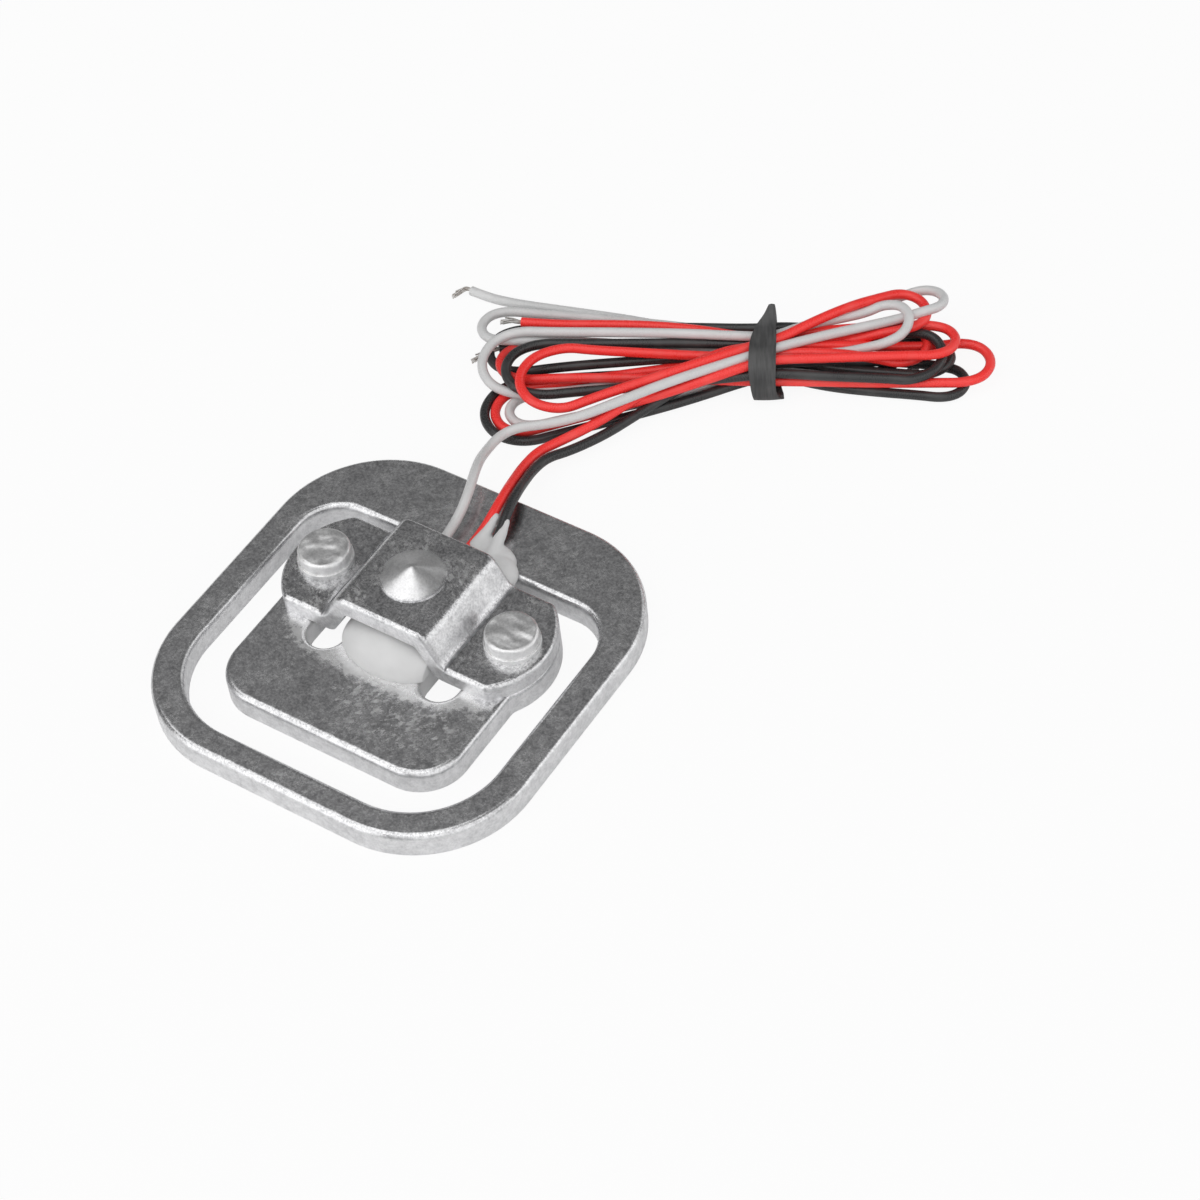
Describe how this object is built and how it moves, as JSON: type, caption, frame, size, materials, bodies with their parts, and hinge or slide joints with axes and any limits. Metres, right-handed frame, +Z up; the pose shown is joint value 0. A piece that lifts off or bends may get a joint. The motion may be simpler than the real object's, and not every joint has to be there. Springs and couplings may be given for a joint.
{
  "type": "half bridge load cell",
  "caption": "Square stamped spring plate with a riveted load bridge and button over a gauged strain beam, sealed in white silicone, with three wires in a tied hank.",
  "frame": {"origin": "centre of the plate's outline, on its underside", "axes": "+Z up through the button, +X along the bridge from rivet to rivet, +Y to the back bar and wires"},
  "size_m": [0.0465, 0.0701, 0.0078],
  "materials": {
    "plate_steel": "dull nickel plating over stamped spring steel",
    "bridge_steel": "dull nickel plating over pressed sheet steel",
    "rivet_steel": "plated, rough on top",
    "polyimide_film": "clear amber film",
    "gauge_alloy": "etched foil",
    "solder": "bright solder",
    "white_silicone": "cured smooth",
    "tinned_copper": "tinned strands",
    "white_insulation": "soft, slightly glossy",
    "red_insulation": "soft, slightly glossy",
    "black_insulation": "soft, slightly glossy",
    "black_band": "matt flat band"
  },
  "bodies": {
    "root": {"spring_plate": "plate_steel", "load_bridge": "bridge_steel", "bridge_rivets": "rivet_steel", "gauge_carrier": "polyimide_film", "gauge_foil": "gauge_alloy", "solder_dots": "solder", "silicone_coat": "white_silicone", "core_white": "tinned_copper", "core_red": "tinned_copper", "core_black": "tinned_copper", "lead_white": "white_insulation", "lead_red": "red_insulation", "lead_black": "black_insulation", "wire_hank": "white_insulation", "hank_tie": "black_band", "tail_white": "white_insulation", "tip_white": "tinned_copper", "tip_red": "tinned_copper", "tip_black": "tinned_copper"}
  },
  "joints": []
}
